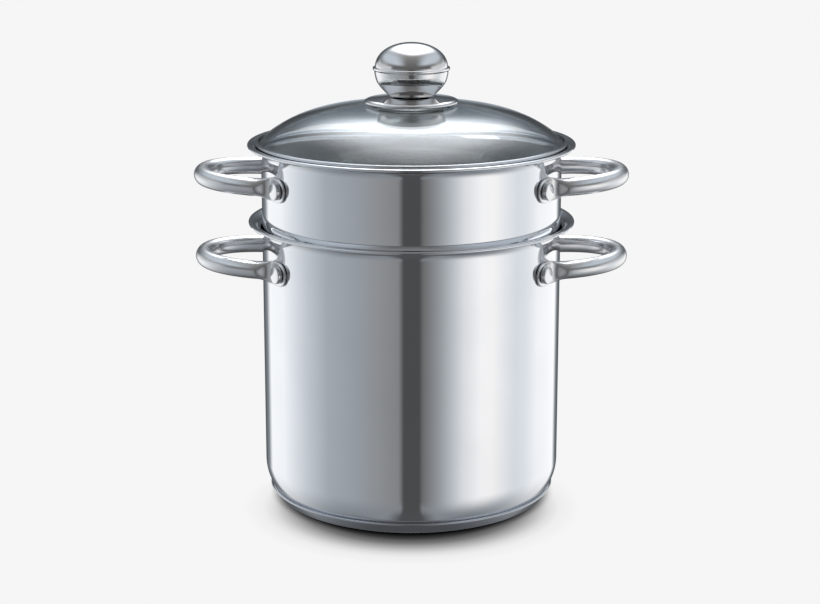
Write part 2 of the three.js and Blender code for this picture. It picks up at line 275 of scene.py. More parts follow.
# %% The flared lip that the pot and the insert share
def flared_lip(rim_z):
    """The section of the flare and its rolled edge, up the outside and down the inside."""
    flare_z = rim_z - FLARE_HEIGHT
    centre_r = LIP_R - BEAD_R
    reach = centre_r - WALL_R
    below = arc(centre_r, flare_z, reach, 180, 108, 14)
    bead = arc(centre_r, rim_z - BEAD_R, BEAD_R, -125, 80, 14)
    above = arc(centre_r, flare_z, reach + SHEET, 99, 180, 14)
    return below + bead + above


def turned_piece(name, corners, materials, steps=TURN_STEPS, inner=None):
    """Turns corners. Faces that inner(centre, normal) accepts take the second material."""
    bm = turn_outline([(p[0], p[1]) for p in rounded(corners)], steps)
    if inner:
        for face in bm.faces:
            if inner(face.calc_center_median(), face.normal):
                face.material_index = 1
    return finish_mesh(bm, name, materials)


print("points in the lip's section:", len(flared_lip(pot_high.z)))

# %% Pot body
FLOOR_Z = pot_low.z
CORNER_R = 34 * MM
CORNER_Z = 28.4 * MM
FLAT_FLOOR_R = 97 * MM
TOWARD_AXIS, UPWARD = -0.2, 0.3

outside = arc(WALL_R - CORNER_R, CORNER_Z, CORNER_R, -33, 0, 12)
inside = arc(WALL_R - CORNER_R, CORNER_Z, CORNER_R - SHEET, 0, -33, 12)
pot_corners = ([(0, FLOOR_Z, 0), (FLAT_FLOOR_R, FLOOR_Z, 4 * MM)] + outside
               + flared_lip(pot_high.z) + inside
               + [(FLAT_FLOOR_R - 0.3 * MM, FLOOR_Z + SHEET, 4 * MM), (0, FLOOR_Z + SHEET, 0)])


def faces_inward(centre, normal, rim_z):
    """True on the inside of a vessel, below its lip."""
    outward = Vector((centre.x, centre.y, 0)).normalized()
    return normal.dot(outward) < TOWARD_AXIS and centre.z < rim_z - FLARE_HEIGHT


def pot_inside(centre, normal):
    floor_top = normal.z > UPWARD and centre.z < CORNER_Z
    return faces_inward(centre, normal, pot_high.z) or floor_top


pot = turned_piece("pot_shell", pot_corners, [wall_steel, inside_steel], inner=pot_inside)
dress(pot, "pot_body", "pot")

# %% [markdown]
# ## The base
# A pot for every hob has a thick aluminium plate under its floor, shut in by a steel cap.
# The cap's rim curls up over the plate and ends in a thin bright edge beside the wall, and
# its underside is turned in fine rings with a shallow recess so that it stands flat when hot.

# %% Base cap
CAP_R = cap_high.y
CAP_TOP = cap_high.z
cap_corners = [
    (0, 0.5 * MM, 0), (30 * MM, 0.5 * MM, 3 * MM), (38 * MM, 0, 3 * MM), (97.5 * MM, 0, 2.5 * MM),
    (100.9 * MM, 1.4 * MM, 3 * MM), (CAP_R, 8.7 * MM, 0.5 * MM),
    (CAP_R - 0.4 * MM, CAP_TOP, 0.4 * MM), (103.5 * MM, CAP_TOP, 0), (103.2 * MM, 8.4 * MM, 0),
    (100.3 * MM, 2.3 * MM, 0), (97.3 * MM, 0.9 * MM, 0), (38 * MM, 0.9 * MM, 0), (0, 1.1 * MM, 0),
]
cap = turned_piece("base_cap_skin", cap_corners, [cap_steel])
dress(cap, "base_cap", "pot")

# %% [markdown]
# ## The insert
# The insert is a second drawn vessel. Its wall matches the pot's above the pot's mouth, steps
# in to centre itself there, and goes on down as a perforated basket. The section is turned
# like the pot's, and the holes are cut by a Boolean with one joined cutter: that is how a
# punch would do it, and it keeps every hole the same.

# %% Insert body
BASKET_R = 106 * MM
BASKET_CORNER = 13 * MM
SHOULDER_Z = 192 * MM
SPIGOT_R = 108.4 * MM
SEAT_Z = 201.5 * MM
basket_z = insert_low.z
corner_z = basket_z + BASKET_CORNER
corner_r = BASKET_R - BASKET_CORNER
outside = (arc(corner_r, corner_z, BASKET_CORNER, -90, 0, 10)
           + [(BASKET_R, SHOULDER_Z - 4 * MM, 3 * MM), (SPIGOT_R, SHOULDER_Z, 2 * MM),
              (SPIGOT_R, SEAT_Z, 6 * MM), (WALL_R, 208 * MM, 8 * MM)])
inside = ([(WALL_R - SHEET, 208 * MM, 8 * MM), (SPIGOT_R - SHEET, SEAT_Z, 6 * MM),
           (SPIGOT_R - SHEET, SHOULDER_Z + 0.4 * MM, 2 * MM),
           (BASKET_R - SHEET, SHOULDER_Z - 3.7 * MM, 3 * MM)]
          + arc(corner_r, corner_z, BASKET_CORNER - SHEET, 0, -90, 10))
insert_corners = ([(0, basket_z, 0)] + outside + flared_lip(insert_high.z) + inside
                  + [(0, basket_z + SHEET, 0)])


def insert_inside(centre, normal):
    """The inside, and all of the basket: only the wall above the pot is mirror-polished."""
    return faces_inward(centre, normal, insert_high.z) or centre.z < SEAT_Z


insert = turned_piece("insert_shell", insert_corners, [wall_steel, inside_steel],
                      inner=insert_inside)

# %% [markdown]
# The holes lie in rings on the floor and in two staggered rows round the wall. Each cutter is
# a short cylinder from `create_cone`, placed by a matrix, and all of them share one mesh.

# %% Basket holes
HOLE_R = 5 * MM
FLOOR_RINGS = [(0, 1), (26 * MM, 6), (52 * MM, 12), (78 * MM, 18)]
WALL_ROWS = [70 * MM, 100 * MM]
HOLES_PER_ROW = 18
HOLE_SIDES = 28
PUNCH_DEPTH = 8 * MM
FIRST_HOLE = 0.25


def basket_cutter():
    bm = bmesh.new()

    def punch(place):
        bmesh.ops.create_cone(bm, cap_ends=True, segments=HOLE_SIDES, radius1=HOLE_R,
                              radius2=HOLE_R, depth=PUNCH_DEPTH, matrix=place)

    for ring_r, count in FLOOR_RINGS:
        for i in range(count):
            angle = 2 * math.pi * i / count
            across, along = ring_r * math.cos(angle), ring_r * math.sin(angle)
            punch(Matrix.Translation((across, along, basket_z)))
    for row, z in enumerate(WALL_ROWS):
        for i in range(HOLES_PER_ROW):
            angle = 2 * math.pi * (i + row / 2 + FIRST_HOLE) / HOLES_PER_ROW
            place = (Matrix.Rotation(angle, 4, "Z") @ Matrix.Translation((BASKET_R, 0, z))
                     @ Matrix.Rotation(math.pi / 2, 4, "Y"))
            punch(place)
    return bm


def cut_away(piece, bm):
    """Cuts the bmesh's solids out of a piece with a Boolean, and keeps the result as its mesh."""
    mesh = bpy.data.meshes.new("cutter")
    bm.to_mesh(mesh)
    bm.free()
    cutter = bpy.data.objects.new("cutter", mesh)
    bpy.context.scene.collection.objects.link(cutter)
    boolean = piece.modifiers.new("cut", "BOOLEAN")
    boolean.operation = "DIFFERENCE"
    boolean.solver = "EXACT"
    boolean.object = cutter
    evaluated = piece.evaluated_get(bpy.context.evaluated_depsgraph_get())
    cut_mesh = bpy.data.meshes.new_from_object(evaluated)
    piece.modifiers.clear()
    piece.data = cut_mesh
    bpy.data.objects.remove(cutter)
    piece.data.set_sharp_from_angle(angle=math.radians(SHARP))


cut_away(insert, basket_cutter())
dress(insert, "insert_body", "insert")

# %% [markdown]
# ## Handles
# Each handle is a bent tube. Close to the wall both ends are pressed flat and turned outward
# along the wall, and a rivet holds each one. A curve object with a round bevel can't go from
# a tube to a flat tongue, so the section is swept by extruding a ring of edges and moving the
# new ring into place. Half of a handle is swept, and `mirror` makes the other half.

# %% Handle path and section
LEG_Y = 45.5 * MM
LOOP_START = 100 * MM
LOOP_REACH = 53 * MM
SQUARE = 2.2
TUBE_R = 6.5 * MM
FOOT_R = 8.65 * MM
FOOT_ANGLE = math.radians(32)
FOOT_HALF = 0.75 * MM
FOOT_MIDDLE = WALL_R + 1.15 * MM
FOOT_TIP = 0.35 * MM
TILT = math.tan(math.radians(3.2))
TILT_START = LOOP_START + 2 * MM
BEND_ANGLE = math.radians(28)
BEND_CORNER = Vector((102.4 * MM, 44.9 * MM))
LOOP_SWEEP = 78
LOOP_STEPS, BEND_STEPS, FOOT_STEPS = 26, 16, 24
ROUND, BAR = 2.0, 5.0
# The tube gets thin a little sooner than it gets tall.
THINNING, SPREADING = 1.05, 1.5


def loop_stations():
    """Plan places, half widths and half heights, from the loop's far point to the foot's end."""
    stations = []
    for i in range(LOOP_STEPS + 1):
        angle = math.radians(LOOP_SWEEP * i / LOOP_STEPS)
        x = LOOP_START + LOOP_REACH * math.cos(angle) ** (2 / SQUARE)
        y = LEG_Y * math.sin(angle) ** (2 / SQUARE)
        stations.append((Vector((x, y)), TUBE_R, TUBE_R, ROUND))
    start = stations[-1][0]
    end = Vector((math.cos(BEND_ANGLE), math.sin(BEND_ANGLE))) * FOOT_MIDDLE
    for i in range(1, BEND_STEPS + 1):
        t = i / BEND_STEPS
        place = start * (1 - t) ** 2 + BEND_CORNER * 2 * t * (1 - t) + end * t * t
        press = t * t * (3 - 2 * t)
        width = TUBE_R + (FOOT_HALF - TUBE_R) * min(1, press * THINNING)
        height = TUBE_R + (FOOT_R - TUBE_R) * press ** SPREADING
        stations.append((place, width, height, ROUND + (BAR - ROUND) * press))
    last = FOOT_ANGLE + FOOT_R / FOOT_MIDDLE
    for i in range(1, FOOT_STEPS + 1):
        t = math.sin(math.pi / 2 * i / FOOT_STEPS)
        angle = BEND_ANGLE + (last - BEND_ANGLE) * t
        past = max(0.0, (angle - FOOT_ANGLE) * FOOT_MIDDLE)
        height = math.sqrt(max(FOOT_R ** 2 - past ** 2, FOOT_TIP ** 2))
        place = Vector((math.cos(angle), math.sin(angle))) * FOOT_MIDDLE
        stations.append((place, FOOT_HALF, height, BAR))
    return stations


def section_offset(angle, width, height, squareness):
    """A superellipse: a circle at ROUND, close to a flat bar with round corners at BAR."""
    c, s = math.cos(angle), math.sin(angle)
    across = width * math.copysign(abs(c) ** (2 / squareness), c)
    up = height * math.copysign(abs(s) ** (2 / squareness), s)
    return across, up


print("stations along half a handle:", len(loop_stations()))

# %% Handle mesh
RING = 40


def handle_mesh(turn, z, name):
    stations = loop_stations()
    bm = bmesh.new()
    ring = bmesh.ops.create_circle(bm, cap_ends=False, radius=TUBE_R, segments=RING)["verts"]
    for index, (place, width, height, squareness) in enumerate(stations):
        if index:
            edges = [e for e in bm.edges if e.verts[0] in ring_set and e.verts[1] in ring_set]
            made = bmesh.ops.extrude_edge_only(bm, edges=edges)["geom"]
            new = {v for v in made if isinstance(v, bmesh.types.BMVert)}
            follow = []
            for v in ring:
                follow.append(next(e.other_vert(v) for e in v.link_edges if e.other_vert(v) in new))
            ring = follow
        ring_set = set(ring)
        before = stations[max(index - 1, 0)][0]
        after = stations[min(index + 1, len(stations) - 1)][0]
        ahead = (after - before).normalized() if index else Vector((0, 1))
        side = Vector((ahead.y, -ahead.x))
        lift = TILT * max(place.x - TILT_START, 0)
        for k, v in enumerate(ring):
            across, up = section_offset(2 * math.pi * (k + 0.5) / RING, width, height, squareness)
            spot = place + side * across
            v.co = (spot.x, spot.y, lift + up)
    bmesh.ops.contextual_create(bm, geom=[e for e in bm.edges if e.verts[0] in ring_set
                                          and e.verts[1] in ring_set])
    bmesh.ops.mirror(bm, geom=bm.verts[:] + bm.edges[:] + bm.faces[:], matrix=Matrix.Identity(4),
                     merge_dist=MERGE_DIST, axis="Y")
    bmesh.ops.remove_doubles(bm, verts=bm.verts, dist=MERGE_DIST)
    bmesh.ops.recalc_face_normals(bm, faces=bm.faces)
    bmesh.ops.transform(bm, matrix=Matrix.Translation((0, 0, z)) @ Matrix.Rotation(turn, 4, "Z"),
                        verts=bm.verts)
    return finish_mesh(bm, name, [handle_steel], sharp=50)


def handle_height(node):
    """The height of a handle's legs: halfway up its feet."""
    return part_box(node)[0].z + FOOT_R


HANDLES = [("pot", "right", 0.0), ("pot", "left", math.pi),
           ("insert", "right", 0.0), ("insert", "left", math.pi)]
for owner, side, turn in HANDLES:
    node = f"{owner}_handle_{side}"
    made = handle_mesh(turn, handle_height(node), f"{node}_tube")
    dress(made, node, owner)

# %% [markdown]
# ## Rivets
# A rivet's head is a low button with a rounded edge. It is turned on its own axis and then
# laid against the foot, facing straight out from the wall. Its tail inside the wall is a
# second, flatter button.

# %% Rivets
RIVET_HEAD_R = 6.2 * MM
RIVET_STEPS = 40
rivet_neck = WALL_R + 2.3 * MM
rivet_top = rivet_neck + 3.4 * MM
rivet_tail = WALL_R - SHEET - 0.9 * MM
rivet_corners = [
    (0, rivet_tail - 1.3 * MM, 0), (5.2 * MM, rivet_tail - 1.3 * MM, 1.0 * MM),
    (5.2 * MM, rivet_tail, 0.2 * MM), (2.9 * MM, rivet_tail, 0), (2.9 * MM, rivet_neck, 0),
    (RIVET_HEAD_R, rivet_neck, 0.2 * MM), (RIVET_HEAD_R, rivet_top - 0.15 * MM, 0.9 * MM),
    (0, rivet_top, 0),
]
SPOTS = [("right_rear", FOOT_ANGLE), ("right_front", -FOOT_ANGLE),
         ("left_front", math.pi + FOOT_ANGLE), ("left_rear", math.pi - FOOT_ANGLE)]
for owner in ("pot", "insert"):
    for spot, angle in SPOTS:
        node = f"{owner}_rivet_{spot}"
        low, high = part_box(node)
        bm = turn_outline([(p[0], p[1]) for p in rounded(rivet_corners)], RIVET_STEPS)
        lay = (Matrix.Translation((0, 0, (low.z + high.z) / 2)) @ Matrix.Rotation(angle, 4, "Z")
               @ Matrix.Rotation(math.pi / 2, 4, "Y"))
        bmesh.ops.transform(bm, matrix=lay, verts=bm.verts)
        dress(finish_mesh(bm, f"{node}_button", [rivet_steel]), node, owner)

# %% [markdown]
# ## The glass lid
# Tempered glass about 4 mm thick, pressed into a shallow dome. Its body is clear, and its
# edge looks grey-green because light travels a long way through it there. A closed solid with
# a Principled shader set to transmit gives true bending and both reflections. Lamps pass
# through it by the Light Path node, so the space under the lid isn't drowned in shadow.

# %% Glass finish
def glass(name):
    material, tree, shader, output = new_material(name)
    place = wire(tree, "TexCoord").outputs["Object"]
    waves = wire(tree, "TexNoise", Vector=place, Scale=9.0, Detail=1.0, Roughness=0.4)
    bump = wire(tree, "Bump", Strength=0.08, Distance=0.0004, Height=waves.outputs["Fac"])
    specks = wire(tree, "TexNoise", Vector=place, Scale=60.0, Detail=4.0, Roughness=0.6)
    tint = wire(tree, "ValToRGB", Fac=specks.outputs["Fac"])
    tint.color_ramp.elements[0].color = (0.855, 0.895, 0.915, 1)
    tint.color_ramp.elements[1].color = (0.895, 0.925, 0.945, 1)
    tree.links.new(tint.outputs["Color"], shader.inputs["Base Color"])
    tree.links.new(ranged(tree, specks.outputs["Fac"], 0.0, 0.012), shader.inputs["Roughness"])
    tree.links.new(bump.outputs["Normal"], shader.inputs["Normal"])
    shader.inputs["Transmission Weight"].default_value = 1.0
    shader.inputs["IOR"].default_value = 1.5
    clear = wire(tree, "BsdfTransparent", Color=(0.88, 0.93, 0.92, 1))
    paths = wire(tree, "LightPath")
    mix = wire(tree, "MixShader", i0=paths.outputs["Is Shadow Ray"], i1=shader.outputs["BSDF"],
               i2=clear.outputs["BSDF"])
    tree.links.new(mix.outputs["Shader"], output.inputs["Surface"])
    return material


lid_glass_finish = glass("tempered_glass")
print("glass finish made")

# %% Lid glass
CROWN_Z = 294.5 * MM
DOME_DROP = 17.65 * MM
DOME_POWER = 3.7
DOME_SCALE_R = 0.1
DOME_EDGE_R = 111.4 * MM
GLASS_THICK = 4 * MM


def dome_point(r, depth=0.0):
    """A point of the dome's outer face, or of the face a depth below it."""
    part = r / DOME_SCALE_R
    slope = DOME_DROP * DOME_POWER / DOME_SCALE_R * part ** (DOME_POWER - 1)
    length = math.hypot(slope, 1)
    z = CROWN_Z - DOME_DROP * part ** DOME_POWER
    return r - depth * slope / length, z - depth / length, 0


def dome_face(start, end, steps, depth):
    return [dome_point(start + (end - start) * i / steps, depth) for i in range(steps + 1)]


glass_corners = (dome_face(5 * MM, 109 * MM, 36, GLASS_THICK)
                 + [(109.7 * MM, 263.9 * MM, 0.8 * MM), (112.2 * MM, 266.9 * MM, 0.5 * MM),
                    (112.15 * MM, 267.4 * MM, 0.3 * MM)]
                 + dome_face(DOME_EDGE_R, 5 * MM, 40, 0))
lid = turned_piece("lid_dome", glass_corners, [lid_glass_finish])
dress(lid, "lid_glass", "lid")

# %% [markdown]
# ## The lid's steel band
# A strip of steel is rolled round the edge of the glass. It follows the flare of the
# insert's mouth underneath and ends in a narrow flange on top of the glass.

# %% Rim band
def in_millimetres(corners):
    return [(r * MM, z * MM, fillet * MM) for r, z, fillet in corners]


band_corners = in_millimetres([
    (107, 265, 0.2), (109.3, 262.2, 0.5), (109.8, 262.2, 0.4), (110.9, 264, 0), (112.8, 266, 1),
    (113.9, 267, 0.5), (113.9, 268.2, 0.5), (113.4, 268.9, 0.5), (111.7, 268.9, 0.25),
    (111.7, 268.3, 0.1), (113, 268.1, 0), (113, 267.2, 0), (112.8, 266.8, 0), (110.1, 263.9, 0),
    (109.5, 263, 0), (107.4, 265.5, 0.2),
])
band = turned_piece("lid_band", band_corners, [wall_steel])
dress(band, "lid_rim_band", "lid")

# %% [markdown]
# ## The knob
# Two pressed shells meet at a raised seam. The upper one is a flattened ball, and the lower
# one narrows to a neck that stands on a round, slightly domed disc. The outlines are turned;
# a superellipse gives the upper shell its squarish shoulders.

# %% Knob shells
SEAM_Z = 321.3 * MM
KNOB_R = 26.6 * MM
KNOB_SHELL = 1 * MM
KNOB_SQUARENESS = 2.08
UPPER_EDGE_Z = SEAM_Z + 0.4 * MM
knob_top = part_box("knob_upper_shell")[1].z


def shell_curve(scale_r, scale_z, start, end, steps=18):
    points = []
    for i in range(steps + 1):
        angle = math.radians(start + (end - start) * i / steps)
        r = scale_r * abs(math.cos(angle)) ** (2 / KNOB_SQUARENESS)
        z = UPPER_EDGE_Z + scale_z * abs(math.sin(angle)) ** (2 / KNOB_SQUARENESS)
        points.append((0 if r < 1e-6 else r, z, 0))
    return points


rise = knob_top - UPPER_EDGE_Z
upper_corners = (shell_curve(KNOB_R, rise, 0, 90)
                 + shell_curve(KNOB_R - KNOB_SHELL, rise - KNOB_SHELL, 90, 0))
upper = turned_piece("knob_cap", upper_corners, [knob_steel], steps=SMALL_STEPS)
dress(upper, "knob_upper_shell", "lid")

lower_corners = in_millimetres([
    (7.8, 301.3, 0), (16.6, 301.3, 0.9), (19.5, 304.1, 6), (22.7, 307.5, 12), (25.5, 311.5, 12),
    (26.8, 316.7, 12), (27, 319.6, 0.8), (28.1, 320.4, 0.7), (28.1, 321.9, 0.7), (27.3, 322.2, 0.3),
    (27, 321.3, 0), (25, 321.3, 0), (25, 323.7, 0.2), (24.3, 323.7, 0.2), (24.3, 317.3, 4),
    (23.4, 311.1, 6), (18.4, 304.7, 4), (16, 302.3, 0), (7.8, 302.3, 0),
])
lower = turned_piece("knob_bowl", lower_corners, [knob_steel], steps=SMALL_STEPS)
dress(lower, "knob_lower_shell", "lid")

# %% Knob disc
disc_corners = in_millimetres([
    (4.3, 296.8, 0), (27.6, 296.8, 0), (28, 294.9, 0), (31.6, 294.5, 1), (33.4, 294.8, 2),
    (34.3, 296.4, 2), (33.9, 298.1, 2), (32, 298.9, 3), (18, 300.6, 20), (4.3, 300.8, 0),
])
disc = turned_piece("knob_disc", disc_corners, [knob_steel], steps=SMALL_STEPS)
dress(disc, "knob_base_disc", "lid")

# %% [markdown]
# ## Under the glass
# A pressed cup, a washer and a slotted screw pull the knob down from inside, with a silicone
# ring on each face of the glass. They show through the dome, so they get real edges too.

# %% Silicone and small parts
def silicone(name):
    material, tree, shader, _ = new_material(name)
    place = wire(tree, "TexCoord").outputs["Object"]
    mottled = wire(tree, "TexNoise", Vector=place, Scale=180.0, Detail=3.0, Roughness=0.6)
    tint = wire(tree, "ValToRGB", Fac=mottled.outputs["Fac"])
    tint.color_ramp.elements[0].color = (0.72, 0.73, 0.71, 1)
    tint.color_ramp.elements[1].color = (0.84, 0.85, 0.83, 1)
    tree.links.new(tint.outputs["Color"], shader.inputs["Base Color"])
    tree.links.new(ranged(tree, mottled.outputs["Fac"], 0.4, 0.6), shader.inputs["Roughness"])
    bump = wire(tree, "Bump", Strength=0.2, Distance=0.00005, Height=mottled.outputs["Fac"])
    tree.links.new(bump.outputs["Normal"], shader.inputs["Normal"])
    shader.inputs["Subsurface Weight"].default_value = 0.2
    shader.inputs["Subsurface Radius"].default_value = (0.002, 0.002, 0.002)
    return material


silicone_finish = silicone("milky_silicone")
cup_steel = steel("satin_cup", (0.80, 0.82, 0.81), 0.32, (500, 500, 1500), 0.3, haze=0.06)

small_rings = {
    "upper_gasket": (silicone_finish, "silicone", [
        (5, 294.8, 0.2), (27, 294.8, 0.4), (27, 296.4, 0.4), (5, 296.4, 0.2)]),
    "lower_gasket": (silicone_finish, "silicone", [
        (5, 288.8, 0.2), (20, 288.8, 0.4), (20, 290.1, 0.4), (5, 290.1, 0.2)]),
    "retaining_cup": (cup_steel, "satin_cup", [
        (3.4, 287.2, 0), (21.5, 287.2, 2), (23.3, 286, 2), (23.8, 284.4, 0), (23.8, 280.4, 0.3),
        (25, 280.4, 0.3), (25, 285, 3), (23.9, 288.4, 3), (3.4, 288.4, 0.2)]),
    "lock_washer": (cap_steel, "brushed_steel", [
        (3.4, 286, 0.1), (7, 286, 0.2), (7, 286.9, 0.2), (3.4, 286.9, 0.1)]),
    "knob_thread_bush": (cap_steel, "brushed_steel", [
        (3.4, 301.3, 0.2), (7.3, 301.3, 0.2), (7.3, 302.7, 0), (10.5, 302.7, 0.3),
        (10.5, 304.3, 0.3), (6.4, 304.3, 0), (6.4, 316, 0.4), (3.4, 316, 0.2)]),
}
for node, (finish, slot, corners) in small_rings.items():
    ring = turned_piece(f"{node}_ring", in_millimetres(corners), [finish], steps=SMALL_STEPS)
    dress(ring, node, "lid")

# %% Screw
SCREW_HEAD_Z = 282.3
SCREW_STEPS = 48
SLOT_SIZE = (14 * MM, 1.2 * MM, 3 * MM, 1)
screw_corners = in_millimetres([
    (0, SCREW_HEAD_Z, 0), (4.9, SCREW_HEAD_Z, 0.8), (5.6, 283.4, 0.3), (5.6, 285.7, 0.2),
    (3, 285.7, 0), (3, 312.3, 0), (2.4, 313, 0), (0, 313, 0),
])
screw = turned_piece("lid_screw_slotted", screw_corners, [cap_steel], steps=SCREW_STEPS)
bm = bmesh.new()
slot_place = Matrix.Translation((0, 0, SCREW_HEAD_Z * MM)) @ Matrix.Diagonal(SLOT_SIZE)
bmesh.ops.create_cube(bm, size=1, matrix=slot_place)
cut_away(screw, bm)
dress(screw, "lid_screw", "lid")

# %% Aluminium plate inside the base
plate_finish = steel("aluminium_plate", (0.72, 0.73, 0.75), 0.4, ROUND_LINES, 0.3, haze=0.06)
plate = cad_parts["base_core_plate"]
for slot in plate.material_slots:
    slot.material = plate_finish
print("core plate keeps its CAD shape")

# %% [markdown]
# ## Studio
# Polished steel shows its surroundings and little else, so the studio is part of the finish.
# In a studio such a pot stands in a white tent with grey flags: bright walls at the sides,
# grey ones in front, a narrow dark gap where the camera looks in, and a dark wall behind that
# draws a line down each edge. Over the top hangs a soft box, which the lid and the knob pick
# up. A real tent could be modelled from sheets of light, but a World that paints it by
# direction is lighter, has no noise, and is easy to tune. It is seen by reflections only, and
# stays plain and even for everything else.
#
# A direction is given by angles in degrees. The turn goes round the horizon, from the pot's
# front at -Y (0) to its right at +X (90) and its back (180). The arch goes from the front
# horizon (0) over the top (90) to the back horizon (180), and below 0 under the front.
# Sideways is the angle away from the upright plane that runs from front to back.

# %% Tent colours
def grey(value, blue=0.0):
    """A grey of one value, with a little blue, or a little warmth where blue is below 0."""
    return (value * (1 - blue), value, value * (1 + blue), 1)


# The low walls: turn, colour.
WALL_STOPS = [
    (-180, grey(0.45, 0.12)), (-175.5, grey(0.42, 0.12)), (-173, grey(0.07, 0.1)),
    (-165, grey(0.10, 0.1)), (-151, grey(0.28, 0.1)), (-142, grey(1.14, 0.01)),
    (-118, grey(1.13, 0.02)), (-102, grey(0.90, 0.04)), (-86, grey(0.68, 0.06)),
    (-68, grey(0.49, 0.08)), (-42, grey(0.405, 0.07)), (-25, grey(0.34, 0.03)),
    (-10, grey(0.28, 0.01)), (-6, grey(0.10)), (6, grey(0.085)), (9, grey(0.18)),
    (15, grey(0.27, 0.04)), (23, grey(0.42, 0.05)), (31, grey(0.62, 0.05)),
    (40, grey(0.88, 0.02)), (55, grey(1.12, -0.01)), (65, grey(1.12, -0.02)),
    (75, grey(1.0, 0.01)), (88, grey(0.88, 0.04)), (98, grey(0.92, 0.04)),
    (115, grey(1.12, 0.01)), (147, grey(1.18)), (155, grey(0.25, 0.1)),
    (165, grey(0.10, 0.1)), (173, grey(0.07, 0.1)), (175.5, grey(0.42, 0.12)),
    (180, grey(0.45, 0.12)),
]
# The vault, above the walls: arch, colour.
VAULT_STOPS = [
    (0, grey(0.12)), (25, grey(0.16)), (60, grey(0.23)), (90, grey(0.36)), (110, grey(0.4)),
    (138, grey(0.35, 0.03)), (150, grey(0.28, 0.08)), (160, grey(0.22, 0.12)),
    (168, grey(0.12, 0.1)), (175, grey(0.07, 0.05)), (180, grey(0.05, 0.05)),
]
WALL_TOP, WALL_FADE = 3, 5
# Bright sheets that lean on the walls: middle and half width, lowest and highest angle, how
# softly they end, and a colour.
SIDE_SHEETS = [(-102, 36, 0, 14, 8, grey(0.75, 0.03)), (102, 36, 0, 14, 8, grey(0.78, 0.02))]
# High on both sides the tent is brighter and a little cool.
SIDE_SLOPES = grey(0.70, 0.10)
SLOPE_WIDTH, SLOPE_FADE = 26, 16
SLOPE_FOOT, SLOPE_FOOT_FADE = 26, 9
FLOOR_SHADE = grey(0.29, 0.08)
FLOOR_EDGE, FLOOR_FADE = -38, 24
# The dark gap under the camera: half width and its softness, lowest and highest arch and
# their softness, and a value. It widens toward the floor.
DARK_GAPS = [(6, 1.5, -100, -2, 3, 0.085), (9, 6, -100, -52, 14, 0.09),
             (24, 12, -150, -82, 9, 0.10)]
# The soft box is an oval. Its middle and its reach are given sideways and along the arch.
BOX_LIGHT = 3.7
BOX_TINT = (0.97, 1, 1.04)
BOX_CENTRE = (2, 127)
BOX_REACH = (21.5, 34)
BOX_FOOT, BOX_FOOT_FADE = 25, 9
OVAL_START, OVAL_FULL, OVAL_POWER = 1.5, 0.4, 1.4
PAPER = 0.918
OPEN_TOP = 200
print(f"tent: {len(WALL_STOPS)} wall stops, {len(VAULT_STOPS)} vault stops")

# %% [markdown]
# The masks below are numbers between 0 and 1 that say how much of a panel a direction sees.
# Map Range nodes set to Smoothstep give each edge a soft start and a soft end, and a product
# of two masks is a panel with four edges.

# %% Tent masks
def math_node(tree, operation, *inputs):
    named = {f"i{index}": value for index, value in enumerate(inputs)}
    return wire(tree, "Math", {"operation": operation}, **named).outputs[0]


def smooth_step(tree, value, start, full):
    """0 before start, 1 after full, whichever of the two is the larger."""
    node = wire(tree, "MapRange", {"interpolation_type": "SMOOTHSTEP"}, Value=value)
    node.inputs["From Min"].default_value = start
    node.inputs["From Max"].default_value = full
    return node.outputs["Result"]


def band_mask(tree, value, low, high, soft):
    """1 between two limits, falling smoothly to 0 over soft at each side."""
    rise = smooth_step(tree, value, math.radians(low - soft), math.radians(low + soft))
    fall = smooth_step(tree, value, math.radians(high + soft), math.radians(high - soft))
    return math_node(tree, "MULTIPLY", rise, fall)


def oval_mask(tree, across, along, centre, reach):
    """1 inside an oval, falling smoothly to 0 outside it."""
    parts = []
    for value, middle, half in ((across, centre[0], reach[0]), (along, centre[1], reach[1])):
        offset = math_node(tree, "SUBTRACT", value, math.radians(middle))
        parts.append(math_node(tree, "DIVIDE", offset, math.radians(half)))
    spot = wire(tree, "CombineXYZ", X=parts[0], Y=parts[1])
    distance = wire(tree, "VectorMath", {"operation": "LENGTH"}, i0=spot.outputs["Vector"])
    soft = smooth_step(tree, distance.outputs["Value"], OVAL_START, OVAL_FULL)
    return math_node(tree, "POWER", soft, OVAL_POWER)


def blend(tree, mask, under, over):
    return wire(tree, "MixRGB", Fac=mask, Color1=under, Color2=over).outputs["Color"]


def fill_ramp(ramp, stops, low, high):
    """Stops are (position between low and high, colour), in order."""
    ramp.interpolation = "LINEAR"
    while len(ramp.elements) > 1:
        ramp.elements.remove(ramp.elements[-1])
    for index, (position, colour) in enumerate(stops):
        share = (position - low) / (high - low)
        element = ramp.elements[0] if index == 0 else ramp.elements.new(share)
        element.position = share
        element.color = colour


def ramp_by_angle(tree, angle, stops, low, high):
    """A colour ramp whose stops are given in degrees."""
    share = wire(tree, "MapRange", Value=angle)
    share.inputs["From Min"].default_value = math.radians(low)
    share.inputs["From Max"].default_value = math.radians(high)
    ramp = wire(tree, "ValToRGB", Fac=share.outputs["Result"])
    fill_ramp(ramp.color_ramp, stops, low, high)
    return ramp.outputs["Color"]


print("mask helpers ready")

